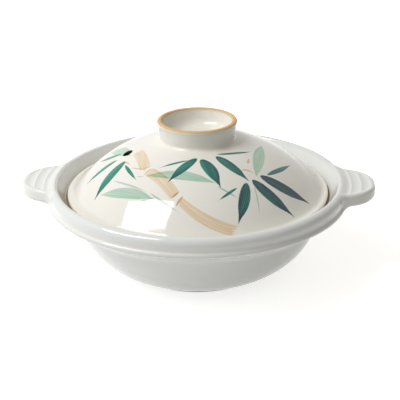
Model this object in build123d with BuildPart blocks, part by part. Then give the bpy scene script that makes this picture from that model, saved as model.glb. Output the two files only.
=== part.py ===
from build123d import *
import os
from math import cos, radians, sin, sqrt

# Donabe clay pot: a bowl with two fluted ears, and a domed lid with a ring for a knob.
# Millimetres, +Z up. The origin is the centre of the foot on the table, the ears lie along X and
# the lid rests on the seat inside the rim. Each piece of clay is a solid of its own: the ears are
# luted to the bowl and the knob to the lid, face to face.

os.makedirs("parts", exist_ok=True)

# Bowl: foot and belly
rim_height = 71.6  # top of the lip above the table
foot_radius = 56.5
foot_height = 4.0
foot_ring_width = 8.0
foot_recess = 1.5  # hollow inside the foot ring
foot_step = 4.2  # belly's bottom edge beyond the foot ring
belly_inset = 5.0  # belly's widest place inside the lid's edge
belly_drop = 4.4  # belly's widest place below the seat
wall = 7.0
floor_thickness = 6.2
floor_radius = 42.0  # where the floor turns up into the wall

# Bowl: seat, lip and overhanging collar
rim_rise = 11.6  # lip above the seat
rim_flare = 6.3  # how far the inside of the rim leans out
lip_width = 6.8
lip_round = 5.0
lip_inner_round = 1.4
seat_corner_round = 2.0
seat_edge_round = 1.6
bead_radius = 2.0  # ridge round the collar's lower edge
bead_proud = 0.8  # ridge beyond the lip
bead_drop = 0.6  # ridge's middle below the seat
cove_drop = 14.0  # where the collar leaves the belly, below the seat
cove_round = 14.0

# Lid
lid_radius = 101.9
lid_rise = 48.0  # top of the dome above the lid's underside
lid_wall = 6.0
lid_rim_thickness = 4.0
lid_rim_width = 4.6  # flat ring round the dome
lid_rim_seat = 10.5  # ring of the underside that rests on the seat
lid_rim_round = 1.2
lid_side_gap = 1.7  # between the lid's edge and the rim
lid_seat_gap = 0.3  # the lid's underside above the seat

# Steam hole
steam_hole_diameter = 7.0
steam_hole_reach = 54.2  # its distance from the lid's axis
steam_hole_bearing = 193.6  # degrees round from the right ear

# Knob
knob_radius = 31.1
knob_taper = 2.4  # rim beyond the knob's base
knob_wall = 4.0
knob_rise = 11.8  # rim above the top of the dome
knob_outer_round = 2.1
knob_inner_round = 1.5
knob_luting = 2.5  # smoothed joint with the dome

# Ears
ear_length = 20.5  # beyond the collar's ridge
ear_drop = 1.5  # top of the ear below the lip
ear_thickness = 10.5
ear_root_width = 61.0
ear_tip_width = 38.4
ear_corner_round = 12.5
ear_root_round = 5.0
ear_top_round = 2.4
ear_under_round = 3.8
ear_border = 3.2  # plain edge round the flutes
flute_count = 3
flute_pitch = 7.6
flute_ridge = 1.0
flute_depth = 1.0

cut_overrun = 2.0

# Radii and heights that follow
rim_inner_radius = lid_radius + lid_side_gap
lip_inner_radius = rim_inner_radius + rim_flare
lip_radius = lip_inner_radius + lip_width
collar_radius = lip_radius + bead_proud
band_radius = collar_radius - bead_radius
belly_radius = lid_radius - belly_inset
belly_base_radius = foot_radius + foot_step
seat_height = rim_height - rim_rise
bead_height = seat_height - bead_drop
belly_height = seat_height - belly_drop
cove_height = seat_height - cove_drop
floor_height = foot_recess + floor_thickness

belly_run = belly_radius - belly_base_radius
belly_climb = belly_height - foot_height
belly_arc = (belly_run**2 + belly_climb**2) / (2 * belly_run)


def belly_at(height):
    """Radius of the belly at a height, on the arc that is upright at its widest place."""
    return belly_radius - belly_arc + sqrt(belly_arc**2 - (belly_height - height) ** 2)


with BuildPart() as pot_bowl:
    with BuildSketch(Plane.XZ):
        with BuildLine():
            foot = Polyline(
                (0, foot_recess),
                (foot_radius - foot_ring_width, foot_recess),
                (foot_radius - foot_ring_width, 0),
                (foot_radius, 0),
                (foot_radius, foot_height),
                (belly_base_radius, foot_height),
            )
            middle = (foot_height + cove_height) / 2
            belly = ThreePointArc(
                foot @ 1,
                (belly_at(middle), middle),
                (belly_at(cove_height), cove_height),
            )
            cove = Line(belly @ 1, (band_radius, bead_height - bead_radius))
            bead = ThreePointArc(
                cove @ 1,
                (collar_radius, bead_height),
                (band_radius, bead_height + bead_radius),
            )
            rim = FilletPolyline(
                bead @ 1,
                (lip_radius, rim_height),
                (lip_inner_radius, rim_height),
                (rim_inner_radius, seat_height),
                (belly_radius - wall, seat_height),
                (belly_radius - wall, belly_height),
                radius=(lip_round, lip_inner_round, seat_corner_round, seat_edge_round),
            )
            inside = TangentArc(rim @ 1, (floor_radius, floor_height), tangent=(0, -1))
            Polyline(inside @ 1, (0, floor_height), foot @ 0)
        section = make_face()
        cove_start = section.vertices().sort_by_distance(Vertex(*(cove @ 0)))[0]
        fillet(cove_start, cove_round)
    revolve(axis=Axis.Z)
pot_bowl.part.label = "pot_bowl"
export_step(pot_bowl.part, "parts/pot_bowl.step")


# Ears
ear_reach = collar_radius + ear_length
ear_top = rim_height - ear_drop
ear_bottom = ear_top - ear_thickness
lip_start = rim_height - lip_round  # an ear touches the band under the lip's rounding
upwards = (Align.CENTER, Align.CENTER, Align.MIN)
ear_root = band_radius - cut_overrun
side_slope = (ear_root_width - ear_tip_width) / 2 / (ear_reach - ear_root)


def ear_plan(border, joint_round):
    """The right ear from above, grown out of a disc as wide as the collar inside its ridge."""
    reach = ear_reach - border
    axis_half = ear_root_width / 2 + side_slope * ear_root - border * sqrt(1 + side_slope**2)
    tip_half = axis_half - side_slope * reach
    tip_x = sqrt(reach**2 - tip_half**2)
    inner_x = ear_root - ear_root_width / 2  # well inside the disc
    with BuildSketch(Plane.XY.offset(ear_bottom)) as plan:
        with BuildLine():
            near = Line(
                (inner_x, side_slope * inner_x - axis_half), (tip_x, side_slope * tip_x - axis_half)
            )
            tip = ThreePointArc(near @ 1, (reach, 0), (tip_x, axis_half - side_slope * tip_x))
            far = Line(tip @ 1, (inner_x, axis_half - side_slope * inner_x))
            Line(far @ 1, near @ 0)
        make_face()
        fillet(plan.vertices().group_by(Axis.X)[-1], ear_corner_round - border)
        Circle(ear_root)
        if joint_round:
            off_the_disc = plan.vertices().sort_by(lambda v: abs(Vector(v.X, v.Y).length - ear_root))
            fillet(off_the_disc[:2], joint_round)
    return plan.sketch


fluted_area = ear_plan(ear_border, 0)
whole_ear = ear_plan(0, ear_root_round)

with BuildPart() as ear_flutes:
    with BuildSketch(Plane.XZ):
        for flute in range(flute_count):
            outer = ear_reach - ear_border - flute * flute_pitch
            inner = outer - flute_pitch + flute_ridge
            lowest = ((inner + outer) / 2, ear_top - flute_depth)
            above = ear_top + cut_overrun
            with BuildLine():
                hollow = ThreePointArc((inner, ear_top), lowest, (outer, ear_top))
                Polyline(hollow @ 1, (outer, above), (inner, above), hollow @ 0)
            make_face()
    revolve(axis=Axis.Z)
    extrude(fluted_area, amount=ear_thickness + cut_overrun, mode=Mode.INTERSECT)

with BuildPart() as ear_right:
    extrude(whole_ear, amount=ear_thickness)
    fillet(ear_right.faces().sort_by(Axis.Z)[-1].edges(), ear_top_round)
    fillet(ear_right.faces().sort_by(Axis.Z)[0].edges(), ear_under_round)
    with Locations((0, 0, ear_top)):
        Hole(ear_root)
    add(ear_flutes.part, mode=Mode.SUBTRACT)
    add(pot_bowl.part, mode=Mode.SUBTRACT)
    with Locations((0, 0, lip_start)):
        Cylinder(lip_radius, lip_round, align=upwards, mode=Mode.SUBTRACT)
ear_right.part.label = "ear_right"
export_step(ear_right.part, "parts/ear_right.step")

with BuildPart() as ear_left:
    mirror(ear_right.part, about=Plane.YZ)
ear_left.part.label = "ear_left"
export_step(ear_left.part, "parts/ear_left.step")


# Lid
lid_underside = seat_height + lid_seat_gap
lid_rim_top = lid_underside + lid_rim_thickness
dome_top = lid_underside + lid_rise
dome_base = lid_radius - lid_rim_width
dome_climb = dome_top - lid_rim_top
dome_radius = (dome_base**2 + dome_climb**2) / (2 * dome_climb)
dome_centre = dome_top - dome_radius


def dome_at(radius):
    """Height of the dome's outside at a distance from the lid's axis."""
    return dome_centre + sqrt(dome_radius**2 - radius**2)


with BuildPart() as lid_dome:
    with BuildSketch(Plane.XZ):
        with BuildLine():
            outside = TangentArc((0, dome_top), (dome_base, lid_rim_top), tangent=(1, 0))
            edge = FilletPolyline(
                outside @ 1,
                (lid_radius, lid_rim_top),
                (lid_radius, lid_underside),
                (lid_radius - lid_rim_seat, lid_underside),
                radius=lid_rim_round,
            )
            inside = TangentArc((0, dome_top - lid_wall), edge @ 1, tangent=(1, 0))
            Line(inside @ 0, outside @ 0)
        make_face()
    revolve(axis=Axis.Z)
    bearing = radians(steam_hole_bearing)
    hole_x = steam_hole_reach * cos(bearing)
    hole_y = steam_hole_reach * sin(bearing)
    with Locations((hole_x, hole_y, dome_top)):
        Hole(steam_hole_diameter / 2)
lid_dome.part.label = "lid_dome"
export_step(lid_dome.part, "parts/lid_dome.step")


# Knob
knob_top = dome_top + knob_rise
knob_base = knob_radius - knob_taper
knob_foot = dome_at(knob_base) - lid_wall / 2

with BuildPart() as lid_knob:
    with BuildSketch(Plane.XZ) as ring:
        with BuildLine():
            wall_line = FilletPolyline(
                (knob_base, knob_foot),
                (knob_radius, knob_top),
                (knob_radius - knob_wall, knob_top),
                (knob_base - knob_wall, knob_foot),
                radius=(knob_outer_round, knob_inner_round),
            )
            Line(wall_line @ 1, wall_line @ 0)
        make_face()
        with Locations((0, dome_centre)):
            Circle(dome_radius)
        under_wall = Vertex(knob_base - knob_wall / 2, dome_at(knob_base))
        fillet(ring.vertices().sort_by_distance(under_wall)[:2], knob_luting)
        with Locations((0, dome_centre)):
            Circle(dome_radius, mode=Mode.SUBTRACT)
    revolve(axis=Axis.Z)
lid_knob.part.label = "lid_knob"
export_step(lid_knob.part, "parts/lid_knob.step")
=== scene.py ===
# %% [markdown]
# # A glazed clay pot with a domed lid
#
# The object is a Japanese hot pot of stoneware: a wide bowl with two fluted ears, and a domed lid
# with a ring for a knob and a bamboo spray painted under its glaze. The CAD model has its plain
# forms. This script makes each piece anew as soft, glazed clay, with the CAD model's sizes in
# millimetres, and hands it over in place of the plain one.

# %% Load the frame
import bmesh
import bpy
import math
import numpy as np
from mathutils import Matrix, Vector
from mathutils.bvhtree import BVHTree


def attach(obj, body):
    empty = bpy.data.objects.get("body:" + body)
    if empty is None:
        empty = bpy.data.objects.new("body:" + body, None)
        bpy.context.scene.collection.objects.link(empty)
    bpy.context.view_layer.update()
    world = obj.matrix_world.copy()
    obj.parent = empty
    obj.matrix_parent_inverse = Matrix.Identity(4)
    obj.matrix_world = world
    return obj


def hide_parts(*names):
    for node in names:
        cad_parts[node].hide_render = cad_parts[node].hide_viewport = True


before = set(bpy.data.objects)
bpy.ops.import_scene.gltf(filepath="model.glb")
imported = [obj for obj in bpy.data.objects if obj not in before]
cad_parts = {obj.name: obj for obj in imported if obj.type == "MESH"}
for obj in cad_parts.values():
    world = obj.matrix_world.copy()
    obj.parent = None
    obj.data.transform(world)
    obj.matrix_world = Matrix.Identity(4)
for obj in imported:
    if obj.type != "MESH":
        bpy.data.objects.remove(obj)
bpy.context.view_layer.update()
mm = 0.001
per_metre = 1000.0
print("CAD nodes:", sorted(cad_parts))

# %% [markdown]
# ## Camera
#
# The photograph was taken from the front, a little above, with a long lens. The pot is turned a
# little on its table, so that the right ear is nearer. The turn is given to the camera, because the
# pot has to keep its ears on the X axis.



# %% Placing and aiming
def add_object(name, data):
    """A new object in the scene."""
    made = bpy.data.objects.new(name, data)
    bpy.context.scene.collection.objects.link(made)
    return made


def aim(thing, way, roll):
    """Points a camera or a lamp along a direction and rolls it about that direction."""
    level = way.to_track_quat("-Z", "Y")
    thing.rotation_mode = "QUATERNION"
    thing.rotation_quaternion = level @ Matrix.Rotation(roll, 3, "Z").to_quaternion()


# %% Camera
pot_turn = math.radians(3.4)
camera_drop = math.radians(22.95)
camera_roll = math.radians(-0.58)
camera_distance = 852.1 * mm
camera_aim = Vector((1.65, 0, 52.7)) * mm

turned = Matrix.Rotation(pot_turn, 3, "Z")
sight = turned @ Vector((0, math.cos(camera_drop), -math.sin(camera_drop)))
camera_data = bpy.data.cameras.new("camera")
camera_data.lens = 97.05
camera_data.sensor_width = 36
camera_data.clip_start = 0.05
camera = add_object("camera", camera_data)
camera.location = turned @ camera_aim - sight * camera_distance
aim(camera, sight, camera_roll)
bpy.context.scene.camera = camera
bpy.context.scene.view_settings.view_transform = "Standard"
print("camera at", [round(v, 4) for v in camera.location])

# %% [markdown]
# ## Nodes in short
#
# Materials and Geometry Nodes are both trees of nodes. One helper adds a node, sets it up and fills
# or links its inputs, so that every later step can be read from top to bottom.


# %% Single nodes
def put(tree, kind, inputs=None, **settings):
    """Adds a node, applies its settings and fills or links its inputs by name or number."""
    made = tree.nodes.new(kind)
    place = len(tree.nodes) - 1
    made.location = (220 * (place % 10), -260 * (place // 10))
    for name, value in settings.items():
        setattr(made, name, value)
    for name, value in (inputs or {}).items():
        if isinstance(value, bpy.types.NodeSocket):
            tree.links.new(value, made.inputs[name])
        else:
            made.inputs[name].default_value = value
    return made


def maths(tree, operation, *values, clamped=False):
    """The result of a Math node."""
    return put(
        tree, "ShaderNodeMath", dict(enumerate(values)), operation=operation, use_clamp=clamped
    ).outputs[0]


def arrows(tree, operation, *values):
    """The result of a Vector Math node, a number where the operation gives one."""
    made = put(tree, "ShaderNodeVectorMath", dict(enumerate(values)), operation=operation)
    single = operation in ("DOT_PRODUCT", "LENGTH", "DISTANCE")
    return made.outputs["Value" if single else "Vector"]


def stretched(tree, arrow, amount):
    """An arrow times a number."""
    return put(
        tree, "ShaderNodeVectorMath", {0: arrow, "Scale": amount}, operation="SCALE"
    ).outputs[0]


# %% Steps, blends and patterns
def rise(tree, value, low, high, out_low=0.0, out_high=1.0):
    """A smooth step from one value to another."""
    return put(
        tree,
        "ShaderNodeMapRange",
        {"Value": value, "From Min": low, "From Max": high, "To Min": out_low, "To Max": out_high},
        interpolation_type="SMOOTHSTEP",
        clamp=False,
    ).outputs["Result"]


def blended(tree, amount, first, second, how="MIX"):
    """The colour that a Mix node gives."""
    return put(
        tree,
        "ShaderNodeMix",
        {0: amount, 6: first, 7: second},
        data_type="RGBA",
        blend_type=how,
        clamp_factor=True,
    ).outputs[2]


def mottle(tree, vector, scale, detail=2.0, roughness=0.5):
    """Smooth noise from 0 to 1."""
    return put(
        tree,
        "ShaderNodeTexNoise",
        {"Vector": vector, "Scale": scale, "Detail": detail, "Roughness": roughness},
    ).outputs["Fac"]


def dots(tree, vector, scale):
    """Dots at random places: how far the nearest one is, and a random colour for each."""
    return put(
        tree,
        "ShaderNodeTexVoronoi",
        {"Vector": vector, "Scale": scale, "Randomness": 1.0},
        feature="F1",
    ).outputs


def ripple(tree, travel, pitch):
    """An uneven ripple from 0 to 1 along a single number, from two sines that disturb each other."""
    slow_turns = maths(tree, "MULTIPLY", travel, math.tau / pitch)
    quick_turns = maths(tree, "MULTIPLY", travel, 2.27 * math.tau / pitch)
    slow = maths(tree, "SINE", slow_turns)
    bent = maths(tree, "MULTIPLY_ADD", slow, 1.7, quick_turns)
    quick = maths(tree, "MULTIPLY_ADD", maths(tree, "SINE", bent), 0.2, 0.5)
    return maths(tree, "MULTIPLY_ADD", slow, 0.3, quick)


# %% Places and rays
def about_the_axis(tree, place):
    """A place's distance from the axis and its height, both in metres."""
    parts = put(tree, "ShaderNodeSeparateXYZ", {0: place}).outputs
    across = put(tree, "ShaderNodeCombineXYZ", {0: parts[0], 1: parts[1]}).outputs[0]
    return arrows(tree, "LENGTH", across), parts[2]


def seen_rays(tree):
    """1 for what the camera sees, also in a reflection or through glass, and 0 for other light."""
    ray = put(tree, "ShaderNodeLightPath").outputs
    direct = maths(tree, "MAXIMUM", ray["Is Camera Ray"], ray["Is Glossy Ray"])
    return maths(tree, "MAXIMUM", direct, ray["Is Transmission Ray"])


# %% Groups and materials
def start_group(name, takes, gives):
    """A shader node group with named inputs and outputs: the tree, its inputs and its outputs."""
    tree = bpy.data.node_groups.new(name, "ShaderNodeTree")
    for title, kind, value in takes:
        socket = tree.interface.new_socket(title, in_out="INPUT", socket_type=kind)
        if value is not None:
            socket.default_value = value
    for title, kind in gives:
        tree.interface.new_socket(title, in_out="OUTPUT", socket_type=kind)
    return tree, put(tree, "NodeGroupInput").outputs, put(tree, "NodeGroupOutput").inputs


def use_group(tree, shared, inputs):
    """Places a shared group in a material and returns its outputs."""
    return put(tree, "ShaderNodeGroup", inputs, node_tree=shared).outputs


def start_material(name):
    """A material with an empty tree, its Principled shader and its output linked."""
    material = bpy.data.materials.new(name)
    material.use_nodes = True
    tree = material.node_tree
    tree.nodes.clear()
    shader = put(tree, "ShaderNodeBsdfPrincipled")
    put(tree, "ShaderNodeOutputMaterial", {"Surface": shader.outputs[0]})
    return material, tree, shader


NUMBER = "NodeSocketFloat"
ARROW = "NodeSocketVector"
COLOUR = "NodeSocketColor"
print("node helpers ready")

# %% [markdown]
# ## Glaze
#
# A white glaze is a layer of glass half a millimetre thick. It runs thin over sharp edges, where the
# warm clay shows through, and gathers in hollows, where it looks cooler. Its skin is never quite
# flat: it has slow waves, a fine orange-peel ripple and a few pinholes. One group makes all of that
# for the pot and the lid, with its own colours for each. How thick the glaze lies comes in as a
# number that every piece carries on its points.


# %% Glaze group
def make_glaze():
    """The colour, the roughness and the fine relief of a white glaze."""
    tree, take, give = start_group(
        "glaze",
        [
            ("Place", ARROW, None),
            ("Full colour", COLOUR, (0.8, 0.8, 0.8, 1)),
            ("Thin colour", COLOUR, (0.8, 0.75, 0.65, 1)),
            ("Pooled colour", COLOUR, (0.7, 0.74, 0.7, 1)),
            ("Thickness", NUMBER, 0.5),
        ],
        [("Colour", COLOUR), ("Roughness", NUMBER), ("Height", NUMBER)],
    )
    place = take["Place"]
    cloud = mottle(tree, place, 28, 3)
    uneven = maths(tree, "MULTIPLY_ADD", cloud, 0.16, maths(tree, "SUBTRACT", take["Thickness"], 0.08))
    thin = rise(tree, uneven, 0.42, 0.16)
    pooled = rise(tree, uneven, 0.58, 0.92)
    colour = blended(tree, thin, take["Full colour"], take["Thin colour"])
    colour = blended(tree, pooled, colour, take["Pooled colour"])
    shade = rise(tree, mottle(tree, place, 11, 2), 0.25, 0.75, 0.975, 1.0)
    grey = put(tree, "ShaderNodeCombineColor", {0: shade, 1: shade, 2: shade}).outputs[0]
    colour = blended(tree, 1.0, colour, grey, "MULTIPLY")

    specks = dots(tree, place, 260)
    speck_lot = put(tree, "ShaderNodeSeparateColor", {0: specks["Color"]}).outputs[0]
    drawn = maths(tree, "GREATER_THAN", speck_lot, 0.965)
    size = maths(tree, "MULTIPLY", drawn, 0.11)
    dot = rise(tree, maths(tree, "SUBTRACT", specks["Distance"], size), 0.03, -0.03)
    speck = maths(tree, "MULTIPLY", maths(tree, "MULTIPLY", dot, drawn), 0.35)
    colour = blended(tree, speck, colour, (0.45, 0.36, 0.26, 1))

    pits = dots(tree, place, 150)
    pit_lot = put(tree, "ShaderNodeSeparateColor", {0: pits["Color"]}).outputs[1]
    pit = rise(tree, pits["Distance"], 0.11, 0.0)
    pit = maths(tree, "MULTIPLY", pit, maths(tree, "GREATER_THAN", pit_lot, 0.95))
    waves = maths(tree, "MULTIPLY", mottle(tree, place, 45, 1), 0.05)
    peel = maths(tree, "MULTIPLY_ADD", mottle(tree, place, 420, 1), 0.007, waves)
    height = maths(tree, "MULTIPLY_ADD", pit, -0.07, peel)
    roughness = rise(tree, mottle(tree, place, 90, 3), 0.3, 0.75, 0.055, 0.1)
    tree.links.new(colour, give["Colour"])
    tree.links.new(maths(tree, "MULTIPLY_ADD", pit, 0.25, roughness), give["Roughness"])
    tree.links.new(height, give["Height"])
    return tree


glaze = make_glaze()
print("glaze group:", len(glaze.nodes), "nodes")

# %% [markdown]
# ## Bare clay, glaze lines and throwing rings
#
# Where two fired pieces touch, the potter wipes the glaze off, or the kiln would fuse them. There
# the clay is tan, matt and a little sandy. A glaze line says where such a place lies, by height and
# by distance from the axis, with an edge that wanders as a wiped edge does. Throwing rings are the
# faint ridges that the potter's fingers leave as the wheel turns.


# %% Bare clay group
def make_clay():
    """The colour, the roughness and the sandy relief of unglazed clay."""
    tree, take, give = start_group(
        "bare clay",
        [("Place", ARROW, None), ("Clay colour", COLOUR, (0.6, 0.4, 0.22, 1))],
        [("Colour", COLOUR), ("Roughness", NUMBER), ("Height", NUMBER)],
    )
    place = take["Place"]
    toast = mottle(tree, place, 60, 4, 0.6)
    colour = blended(
        tree, rise(tree, toast, 0.35, 0.75), take["Clay colour"], (0.72, 0.72, 0.72, 1), "MULTIPLY"
    )
    colour = blended(tree, 0.25, take["Clay colour"], colour)
    sand = mottle(tree, place, 1500, 3, 0.65)
    grains = dots(tree, place, 900)["Distance"]
    dark_sand = maths(tree, "MULTIPLY", rise(tree, sand, 0.55, 0.8), 0.5)
    colour = blended(tree, dark_sand, colour, (0.24, 0.15, 0.08, 1))
    height = maths(tree, "MULTIPLY_ADD", grains, 0.05, maths(tree, "MULTIPLY", sand, 0.06))
    tree.links.new(colour, give["Colour"])
    tree.links.new(rise(tree, sand, 0.3, 0.7, 0.72, 0.9), give["Roughness"])
    tree.links.new(height, give["Height"])
    return tree


# %% Glaze line group
def make_glaze_line():
    """1 where the clay is bare, between two heights and two distances from the axis in mm."""
    tree, take, give = start_group(
        "glaze line",
        [
            ("Place", ARROW, None),
            ("Lowest", NUMBER, 0.0),
            ("Highest", NUMBER, 1.0),
            ("Innermost", NUMBER, 0.0),
            ("Outermost", NUMBER, 1000.0),
            ("Wander", NUMBER, 0.3),
        ],
        [("Bare", NUMBER)],
    )
    radius, height = about_the_axis(tree, take["Place"])
    radius = maths(tree, "MULTIPLY", radius, per_metre)
    height = maths(tree, "MULTIPLY", height, per_metre)
    stray = maths(tree, "SUBTRACT", mottle(tree, take["Place"], 110, 3), 0.5)
    stray = maths(tree, "MULTIPLY", stray, take["Wander"])
    radius = maths(tree, "ADD", radius, stray)
    height = maths(tree, "ADD", height, stray)
    edge_softness = 0.12
    bare = 1.0
    for value, edge, way in (
        (height, take["Lowest"], 1),
        (height, take["Highest"], -1),
        (radius, take["Innermost"], 1),
        (radius, take["Outermost"], -1),
    ):
        beyond = maths(tree, "MULTIPLY", maths(tree, "SUBTRACT", value, edge), float(way))
        bare = maths(tree, "MULTIPLY", rise(tree, beyond, -edge_softness, edge_softness), bare)
    tree.links.new(bare, give["Bare"])
    return tree


# %% Throwing ring group
def make_rings():
    """The height of the throwing rings, which come and go over the wall."""
    tree, take, give = start_group(
        "throwing rings",
        [("Place", ARROW, None), ("Ring width", NUMBER, 6.0)],
        [("Height", NUMBER)],
    )
    radius, height = about_the_axis(tree, take["Place"])
    travel = maths(tree, "SUBTRACT", radius, height)
    swirl = maths(tree, "MULTIPLY_ADD", mottle(tree, take["Place"], 14, 1), 0.006, travel)
    turns = maths(tree, "DIVIDE", maths(tree, "MULTIPLY", swirl, per_metre), take["Ring width"])
    wave = maths(tree, "SINE", maths(tree, "MULTIPLY", turns, math.tau))
    fade = rise(tree, mottle(tree, take["Place"], 20, 2), 0.35, 0.7)
    tree.links.new(maths(tree, "MULTIPLY", wave, fade), give["Height"])
    return tree


bare_clay = make_clay()
glaze_line = make_glaze_line()
throwing_rings = make_rings()
print("shared groups:", [g.name for g in bpy.data.node_groups])

# %% [markdown]
# ## Two finishes in one material
#
# Every piece of the pot has the same two finishes, glaze and bare clay, so one function builds all
# of the materials. A bare place is given as its lowest and highest height and its innermost and
# outermost distance from the axis, in millimetres. A painting can be laid under the glaze.


# %% Glazed clay
def glazed_clay(name, colours, clay_colour, bare_places, ring_width, under_glaze=None):
    """A glazed material that turns to bare clay inside the given glaze lines."""
    material, tree, shader = start_material(name)
    place = put(tree, "ShaderNodeTexCoord").outputs["Object"]
    thickness = put(tree, "ShaderNodeAttribute", attribute_name="glaze_thickness").outputs["Fac"]
    skin = use_group(
        tree,
        glaze,
        {
            "Place": place,
            "Full colour": colours[0],
            "Thin colour": colours[1],
            "Pooled colour": colours[2],
            "Thickness": thickness,
        },
    )
    body = use_group(tree, bare_clay, {"Place": place, "Clay colour": clay_colour})
    rings = use_group(tree, throwing_rings, {"Place": place, "Ring width": ring_width})
    bare = 0.0
    for lowest, highest, innermost, outermost in bare_places:
        found = use_group(
            tree,
            glaze_line,
            {
                "Place": place,
                "Lowest": lowest,
                "Highest": highest,
                "Innermost": innermost,
                "Outermost": outermost,
                "Wander": 0.5,
            },
        )["Bare"]
        bare = maths(tree, "MAXIMUM", bare, found)
    colour = skin["Colour"]
    if under_glaze:
        colour = under_glaze(tree, place, colour)
    colour = blended(tree, bare, colour, body["Colour"])
    roughness = put(
        tree, "ShaderNodeMix", {0: bare, 2: skin["Roughness"], 3: body["Roughness"]}
    ).outputs[0]
    smooth_height = maths(tree, "MULTIPLY_ADD", rings["Height"], 0.012, skin["Height"])
    height = put(
        tree, "ShaderNodeMix", {0: bare, 2: smooth_height, 3: body["Height"]}
    ).outputs[0]
    relief = put(tree, "ShaderNodeBump", {"Height": height, "Strength": 1.0, "Distance": mm})
    tree.links.new(colour, shader.inputs["Base Color"])
    tree.links.new(roughness, shader.inputs["Roughness"])
    tree.links.new(relief.outputs[0], shader.inputs["Normal"])
    shader.inputs["IOR"].default_value = 1.52
    print(name, "has", len(tree.nodes), "nodes")
    return material


# %% [markdown]
# ## Forms turned on the wheel
#
# The bowl, the lid and the knob are all turned about one axis, so each of them is a profile and a
# rule. The profile is drawn in millimetres as distance from the axis and height. Its corners get
# arcs, the whole line is melted a little as glaze melts over an edge, and then it keeps points where
# it bends and few where it runs straight.


# %% Arcs and rounded corners
def arc(centre, radius, start, end, steps=40):
    """Points of an arc about a centre, from one angle to another in degrees."""
    angles = np.radians(np.linspace(start, end, steps))
    return [(centre[0] + radius * math.cos(a), centre[1] + radius * math.sin(a), 0) for a in angles]


def rounded(corners, steps=10):
    """Puts an arc in each corner. A corner is its radius from the axis, its height and its rounding."""
    line = [np.array(corners[0][:2], float)]
    for back, here, ahead in zip(corners, corners[1:], corners[2:]):
        middle = np.array(here[:2], float)
        if not here[2]:
            line.append(middle)
            continue
        inward = np.array(back[:2], float) - middle
        inward /= np.linalg.norm(inward)
        onward = np.array(ahead[:2], float) - middle
        onward /= np.linalg.norm(onward)
        half = math.acos(np.clip(inward @ onward, -1, 1)) / 2
        bisector = (inward + onward) / np.linalg.norm(inward + onward)
        centre = middle + bisector * here[2] / math.sin(half)
        first = middle + inward * here[2] / math.tan(half) - centre
        last = middle + onward * here[2] / math.tan(half) - centre
        start = math.atan2(first[1], first[0])
        sweep = (math.atan2(last[1], last[0]) - start + math.pi) % math.tau - math.pi
        for share in np.linspace(0, 1, steps):
            angle = start + sweep * share
            line.append(centre + here[2] * np.array((math.cos(angle), math.sin(angle))))
    line.append(np.array(corners[-1][:2], float))
    return np.array(line)


corner = rounded([(0, 0, 0), (10, 0, 2.0), (10, 10, 0)])
print("a rounded corner gets", len(corner) - 2, "points")


# %% Melting and thinning a profile
def melted(line, softness, spacing=0.15):
    """Softens a profile as a running glaze does, and keeps its two ends where they are."""
    steps = np.linalg.norm(np.diff(line, axis=0), axis=1)
    travel = np.r_[0, np.cumsum(steps)]
    even = np.linspace(0, travel[-1], int(travel[-1] / spacing) + 1)
    fine = np.c_[np.interp(even, travel, line[:, 0]), np.interp(even, travel, line[:, 1])]
    reach = int(3 * softness / spacing)
    weights = np.exp(-0.5 * (np.arange(-reach, reach + 1) * spacing / softness) ** 2)
    weights /= weights.sum()
    before = 2 * fine[0] - fine[reach:0:-1]
    after = 2 * fine[-1] - fine[-2 : -reach - 2 : -1]
    padded = np.vstack([before, fine, after])
    return np.stack([np.convolve(padded[:, k], weights, "valid") for k in (0, 1)], axis=1)


def thinned(fine, finest=0.45, coarsest=3.2, share=0.16):
    """Keeps points by how much the line bends. Also gives each point's bend, positive outwards."""
    along = np.gradient(fine, axis=0)
    pace = np.linalg.norm(along, axis=1)
    heading = np.unwrap(np.arctan2(along[:, 1], along[:, 0]))
    bend = -np.gradient(heading) / pace
    wide = int(1.5 / pace.mean())
    tight = np.array([np.abs(bend[max(0, k - wide) : k + wide + 1]).max() for k in range(len(bend))])
    spacing = np.clip(share / np.maximum(tight, 1e-6), finest, coarsest)
    load = np.r_[0, np.cumsum(pace[1:] / spacing[1:])]
    wanted = np.linspace(0, load[-1], int(load[-1]) + 2)
    keep = np.interp(wanted, load, np.arange(len(load)))
    order = np.arange(len(fine))
    kept = np.c_[np.interp(keep, order, fine[:, 0]), np.interp(keep, order, fine[:, 1])]
    kernel = np.ones(2 * wide + 1) / (2 * wide + 1)
    mean_bend = np.convolve(np.pad(bend, wide, mode="edge"), kernel, "valid")
    return kept, np.interp(keep, order, mean_bend)


def carry_glaze(mesh, bend):
    """Stores how thick the glaze lies: 0 on sharp edges, a half where it is flat, 1 in hollows."""
    thickness = np.clip(0.5 - 1.1 * np.tanh(bend / 0.45), 0, 1)
    mesh.attributes.new("glaze_thickness", "FLOAT", "POINT").data.foreach_set("value", thickness)


soft_corner, corner_bend = thinned(melted(corner, 0.75))
print("melted, its whole line has", len(soft_corner), "points")
print("and bends by", round(np.abs(corner_bend).max(), 2), "radians in a millimetre at most")


# %% [markdown]
# ## A wheel made of Geometry Nodes
#
# The wheel is one node tree for all three turned pieces. It lays out a grid with one column for
# each place round the wheel, looks up the profile point for every row, and turns it about the axis.
# A slow noise draws the wall inwards by a fraction of a millimetre, as hand-thrown clay is never
# quite round. At the end the seam and the two poles are merged, and the material is set.


# %% Reading the profile
def from_profile(tree, profile, row, value, kind):
    """What a point of the profile carries, for each row of the grid."""
    return put(
        tree,
        "GeometryNodeSampleIndex",
        {"Geometry": profile, "Value": value, "Index": row},
        data_type=kind,
        domain="POINT",
    ).outputs[0]


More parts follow.
